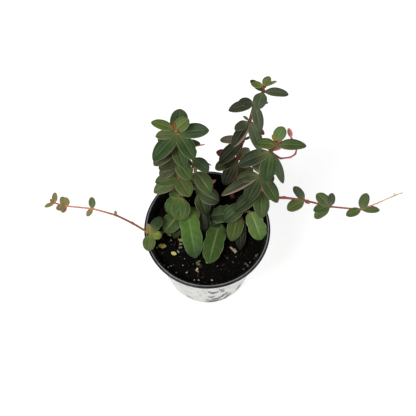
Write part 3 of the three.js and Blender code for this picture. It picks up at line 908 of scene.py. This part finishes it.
def make_stem(axis, rooted):
    """A tube along the stem's centre line, coloured from its foot to its tip."""
    knots = [np.array(at, float) for at, *_ in axis]
    tones = [linear(tone) for _, tone, *_ in axis]
    if rooted:
        knots.insert(0, knots[0] - np.array((0, 0, PLANTED, 0)))
        tones.insert(0, tones[0])
    line = centre_line(knots)
    curve = bpy.data.curves.new("stem", "CURVE")
    curve.dimensions = "3D"
    curve.bevel_depth = MM
    curve.bevel_resolution = 4
    curve.use_fill_caps = True
    spline = curve.splines.new("POLY")
    spline.points.add(len(line) - 1)
    for point, (spot, _) in zip(spline.points, line):
        point.co = (spot[0] * MM, spot[1] * MM, spot[2] * MM, 1)
        point.radius = spot[3]
    choose(add_object("stem", curve))
    bpy.ops.object.convert(target="MESH")
    stem = bpy.context.object
    edit(stem)
    pick_all()
    bpy.ops.mesh.remove_doubles(threshold=WELD)
    leave()
    tree = KDTree(len(line))
    for index, (spot, _) in enumerate(line):
        tree.insert(spot[:3] * MM, index)
    tree.balance()
    colours = []
    for vert in stem.data.vertices:
        passed = line[tree.find(vert.co)[1]][1]
        first = min(int(passed), len(tones) - 2)
        colours.append([*(tones[first] + (tones[first + 1] - tones[first]) * (passed - first)), 1])
    mark_tones(stem.data, colours)
    return stem


def stems_and_leaves(axes, blades, dice):
    """All the stems of a plant, of which the first is planted in the soil, and all its leaves."""
    stems = []
    leaves = []
    for axis in axes:
        stems.append(make_stem(axis, axis is axes[0]))
        leaves += [add_leaf(blades, knot, leaf, dice) for knot, _, *whorl in axis for leaf in whorl]
    return stems, leaves


def make_plants(blades, leaf):
    """Each leafy stem, as one piece for its stems and one for its leaves."""
    stem = stem_paint()
    for name, (axes, slot) in PLANTS.items():
        dice = random.Random(f"{name}{SEED}")
        stems, leaves = stems_and_leaves(axes, blades, dice)
        piece = join(name + "_leaves", leaves)
        apply_modifier(piece, "SUBSURF", levels=1, render_levels=1)
        smooth(piece)
        finish_piece(piece, leaf, slot, name)
        piece = join(name + "_stalks", stems)
        smooth(piece)
        finish_piece(piece, stem, "stem", name)


# Pot

def inner_radius(height):
    """The pot's inner radius at a height."""
    top = RIM_RADIUS - 2 * LIP_RADIUS
    return BASE_RADIUS + (top - BASE_RADIUS) * height / POT_HEIGHT - WALL


def wall_line(inset, top):
    """The outside of the wall from its foot up to a height, set in by some millimetres."""
    rim = LIP_CENTRE - LIP_RADIUS * cos(radians(WALL_MEETS_LIP))
    lip_foot = LIP_HEIGHT - LIP_RADIUS * sin(radians(WALL_MEETS_LIP))
    heights = np.linspace(WALL_FOOT, top, WALL_POINTS)
    shares = (heights - WALL_FOOT) / (lip_foot - WALL_FOOT)
    return [(BASE_RADIUS + (rim - BASE_RADIUS) * share - inset, at) for share, at in zip(shares, heights)]


def sleeve_profile():
    """The white outside: a foot ring and a thin wall that ends under the lip."""
    foot = [(BASE_RADIUS - inset, height) for inset, height in FOOT_RING]
    return foot + wall_line(0, SLEEVE_TOP) + wall_line(SLEEVE, SLEEVE_TOP)[::-1]


def liner_profile():
    """The black inside: up within the sleeve, over the round lip, and down to the floor."""
    outline = [(0, LINER_FOOT), (BASE_RADIUS - LINER_INSET, LINER_FOOT)]
    outline += wall_line(SLEEVE + LINER_GAP, LINER_TOP)[1:]
    for angle in range(*LIP_ARC):
        radius = LIP_RADIUS - GROOVE_DEPTH * exp(-((angle - GROOVE_AT) / GROOVE_WIDTH) ** 2)
        across, up = radius * cos(radians(angle)), radius * sin(radians(angle))
        outline.append((LIP_CENTRE + across, LIP_HEIGHT + up))
    outline += [(inner_radius(height), height) for height in INSIDE_HEIGHTS]
    outline += [(inner_radius(FLOOR) - inset, height) for inset, height in INSIDE_CORNER]
    return outline + [(DRAIN_CIRCLE, FLOOR_TOP), (0, FLOOR_TOP)]


def spin(name, outline):
    """A shape turned about the pot's axis from its outline of (radius, height)."""
    bpy.ops.mesh.primitive_circle_add(vertices=len(outline), radius=1, fill_type="NOTHING")
    turned = bpy.context.object
    edit(turned)
    shape = bmesh.from_edit_mesh(turned.data)
    shape.verts.ensure_lookup_table()
    for vert, (radius, height) in zip(shape.verts, outline):
        vert.co = (radius * MM, 0, height * MM)
    if outline[0][0] == 0:
        shape.edges.remove(shape.edges.get((shape.verts[-1], shape.verts[0])))
    bmesh.update_edit_mesh(turned.data)
    pick_all()
    bpy.ops.mesh.spin(steps=POT_SIDES, angle=2 * pi, center=(0, 0, 0), axis=(0, 0, 1))
    pick_all()
    bpy.ops.mesh.remove_doubles(threshold=WELD)
    leave()
    turned.name = turned.data.name = name
    return turned


def make_pot():
    """A thin-walled pot: a white sleeve outside, and a black liner with its lip and drain holes."""
    sleeve = spin("pot_sleeve", sleeve_profile())
    liner = spin("pot_liner", liner_profile())
    cut_drains(liner)
    for piece, paint, slot in ((sleeve, pot_white(), "pot_outside"), (liner, pot_black(), "pot")):
        choose(piece)
        bpy.ops.object.shade_smooth_by_angle(angle=radians(POT_CREASE))
        finish_piece(piece, paint, slot, "pot")


def cut_drains(pot):
    """Round drain holes through the floor."""
    drills = []
    for hole in range(DRAIN_HOLES):
        angle = 2 * pi * hole / DRAIN_HOLES
        place = Vector((DRAIN_CIRCLE * cos(angle), DRAIN_CIRCLE * sin(angle), 0)) * MM
        bpy.ops.mesh.primitive_cylinder_add(
            vertices=24, radius=DRAIN_RADIUS * MM, depth=DRILL_LENGTH * MM, location=place)
        drills.append(bpy.context.object)
    drill = join("drills", drills)
    apply_modifier(pot, "BOOLEAN", object=drill, operation="DIFFERENCE", solver="EXACT")
    bpy.data.objects.remove(drill)


# Soil

def soil_height(x, y):
    """The soil's lumpy top in millimetres, with the CAD's waves, a little higher at the back."""
    lumps = SOIL_LUMP * sin(LUMP_WAVES[0] * x + 0.7) * cos(LUMP_WAVES[1] * y - 0.4)
    first, second, third, fourth = CRUMB_WAVES
    crumbs = SOIL_CRUMB * sin(first * x + second * y) * cos(third * x + fourth * y)
    return SOIL_LEVEL + SOIL_RISE * y / RIM_RADIUS + lumps + crumbs


def make_soil():
    """A plug of soil that fills the pot, its top raised into lumps and grains."""
    rim = inner_radius(SOIL_LEVEL) - GAP
    bottom = FLOOR_TOP + GAP
    bpy.ops.mesh.primitive_cylinder_add(
        vertices=SOIL_SIDES, radius=rim * MM, depth=(SOIL_LEVEL - bottom) * MM,
        location=(0, 0, (SOIL_LEVEL + bottom) / 2 * MM))
    bed = bpy.context.object
    bpy.ops.object.transform_apply(location=True)
    edit(bed)
    midway = SOIL_LEVEL / 2 * MM
    pick(lambda co: co.z < midway)
    narrow = (inner_radius(bottom) - GAP - SOIL_TAPER) / rim
    bpy.ops.transform.resize(value=(narrow, narrow, 1), center_override=(0, 0, 0))
    bpy.ops.mesh.select_mode(type="FACE")
    bpy.ops.mesh.select_all(action="DESELECT")
    shape = bmesh.from_edit_mesh(bed.data)
    for face in shape.faces:
        face.select_set(face.normal.z > 0.9)
    bmesh.update_edit_mesh(bed.data)
    for _ in range(SOIL_RINGS):
        bpy.ops.mesh.inset(thickness=rim / (SOIL_RINGS + 1) * MM)
    bpy.ops.mesh.poke()
    leave()
    top = bed.vertex_groups.new(name="top")
    for vert in bed.data.vertices:
        x, y = vert.co.x / MM, vert.co.y / MM
        if vert.co.z > midway:
            vert.co.z = soil_height(x, y) * MM
            inside = min(1.0, max(0.0, rim - hypot(x, y)))
            top.add([vert.index], RIM_GRAIN + (1 - RIM_GRAIN) * inside, "REPLACE")
    for kind, size, height in SOIL_GRAIN:
        grain = bpy.data.textures.new("grain", kind)
        grain.noise_scale = size
        apply_modifier(
            bed, "DISPLACE", texture=grain, texture_coords="LOCAL", direction="Z", strength=height,
            mid_level=0.5, vertex_group="top")
    smooth(bed)
    bed.name = bed.data.name = "soil_bed"
    finish_piece(bed, soil_paint(), "soil", "soil")


def make_lump(name, squash, dice):
    """A rough pebble, its points pushed in and out."""
    bpy.ops.mesh.primitive_ico_sphere_add(subdivisions=2, radius=0.5)
    lump = bpy.context.object
    edit(lump)
    pick_all()
    bpy.ops.transform.resize(value=squash)
    bpy.ops.transform.vertex_random(offset=0.09, uniform=0.6, normal=0.3, seed=dice.randrange(1, 9999))
    leave()
    mesh = lump.data
    mesh.name = name
    bpy.data.objects.remove(lump)
    return mesh


def scatter(name, shapes, spots, dice, paint, slot):
    """Copies of the shapes on the soil, at (x, y, size) in millimetres, joined in one piece."""
    things = []
    for x, y, size in spots:
        mesh = dice.choice(shapes).copy()
        turn = Matrix.Rotation(dice.uniform(0, 2 * pi), 4, "Z")
        tilt = Matrix.Rotation(dice.uniform(-LUMP_TILT, LUMP_TILT), 4, "X")
        place = Matrix.Translation(Vector((x, y, soil_height(x, y) + LUMP_LIFT * size)) * MM)
        mesh.transform(place @ turn @ tilt @ Matrix.Scale(size * MM, 4))
        things.append(add_object(name, mesh))
    finish_piece(join(name, things), paint, slot)


def soil_spots(count, sizes, dice):
    """Even random places on the soil, with a size for each."""
    rim = inner_radius(SOIL_LEVEL) - WALL_CLEARANCE
    spots = []
    for _ in range(count):
        reach = rim * sqrt(dice.random())
        angle = dice.uniform(0, 2 * pi)
        spots.append((reach * cos(angle), reach * sin(angle), dice.triangular(*sizes)))
    return spots


def make_twig(start, end, radius):
    """A thin bit of wood that lies on the soil, from one (x, y) to another."""
    lift = 2.2 * radius + 0.4
    low, high = (Vector((x, y, soil_height(x, y) + lift)) * MM for x, y in (start, end))
    bpy.ops.mesh.primitive_cylinder_add(vertices=12, radius=radius * MM, depth=(high - low).length)
    twig = bpy.context.object
    edit(twig)
    pick_all()
    bpy.ops.mesh.subdivide(number_cuts=3)
    bpy.ops.transform.vertex_random(offset=0.2 * radius * MM, uniform=0.5, normal=0.5, seed=SEED)
    leave()
    turn = (high - low).to_track_quat("Z", "Y").to_matrix().to_4x4()
    twig.data.transform(Matrix.Translation((low + high) / 2) @ turn)
    return twig


def make_litter(blades, leaf):
    """What lies on the soil: crumbs, bark chips, white grains, brown lumps, wood and fallen leaves."""
    dice = random.Random(SEED)
    lumps = []
    for index in range(5):
        squash = (1, dice.uniform(0.6, 0.9), dice.uniform(0.45, 0.7))
        lumps.append(make_lump(f"lump{index}", squash, dice))
    chips = [make_lump(f"chip{index}", CHIP_SQUASH, dice) for index in range(4)]
    peat, bark, white, wood, brown = (speckled(name, *look) for name, look in SPECKLED.items())
    scatter("peat_crumbs", lumps, soil_spots(*PEAT_CRUMBS, dice), dice, peat, "soil")
    scatter("bark_chips", chips, soil_spots(*BARK_CHIPS, dice), dice, bark, "soil")
    grains = soil_spots(*FINE_GRAINS, dice) + list(WHITE_GRAINS)
    scatter("perlite", lumps, grains, dice, white, "perlite")
    scatter("brown_lumps", lumps, BROWN_LUMPS, dice, brown, "soil")
    twigs = [make_twig(*twig) for twig in TWIGS]
    finish_piece(join("wood_bits", twigs), wood, "fallen_leaf")
    fallen = []
    for tone, x, y, azimuth, length, width in FALLEN_LEAVES:
        knot = (x, y, soil_height(x, y) + FALLEN_LIFT, 0)
        fallen.append(add_leaf(blades, knot, (tone, azimuth, *FALLEN_ARC, length, width), dice))
    piece = join("fallen_leaves", fallen)
    smooth(piece)
    finish_piece(piece, leaf, "fallen_leaf")


# Camera, light and floor

def set_camera():
    """The camera looks down on the pot from the front."""
    data = bpy.data.cameras.new("camera")
    data.lens = LENS
    data.sensor_width = SENSOR_WIDTH
    data.clip_start = 0.01
    camera = add_object("camera", data)
    camera.location = CAMERA_PLACE
    camera.rotation_euler = (radians(CAMERA_TILT), 0, 0)
    bpy.context.scene.camera = camera


def add_softbox(name, place, size, power):
    """A square softbox that faces the plant."""
    data = bpy.data.lights.new(name, "AREA")
    data.size = size
    data.energy = power
    light = add_object(name, data)
    light.location = place
    light.rotation_euler = (Vector(LIGHT_AIM) - Vector(place)).to_track_quat("-Z", "Y").to_euler()


def set_stage():
    """A pale floor under even daylight, with two softboxes over the pot."""
    scene = bpy.context.scene
    scene.view_settings.view_transform = "Standard"
    world = bpy.data.worlds.new("daylight")
    world.use_nodes = True
    background = world.node_tree.nodes["Background"]
    background.inputs["Color"].default_value = (1, 1, 1, 1)
    background.inputs["Strength"].default_value = DAYLIGHT
    scene.world = world
    for softbox in SOFTBOXES:
        add_softbox(*softbox)
    bpy.ops.mesh.primitive_plane_add(size=GROUND_SIZE, location=(0, 0, -GROUND_DROP))
    floor = bpy.context.object
    floor.name = "floor"
    paint = Paint(
        "floor", Base_Color=GROUND_GREY, Emission_Color=(1, 1, 1, 1), Emission_Strength=GROUND_GLOW,
        Roughness=0.9)
    floor.data.materials.append(paint.material)


set_camera()
set_stage()
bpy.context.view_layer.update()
blades = {kind: make_blade(kind) for kind in OUTLINES}
leaf = leaf_paint()
make_plants(blades, leaf)
make_pot()
make_soil()
make_litter(blades, leaf)
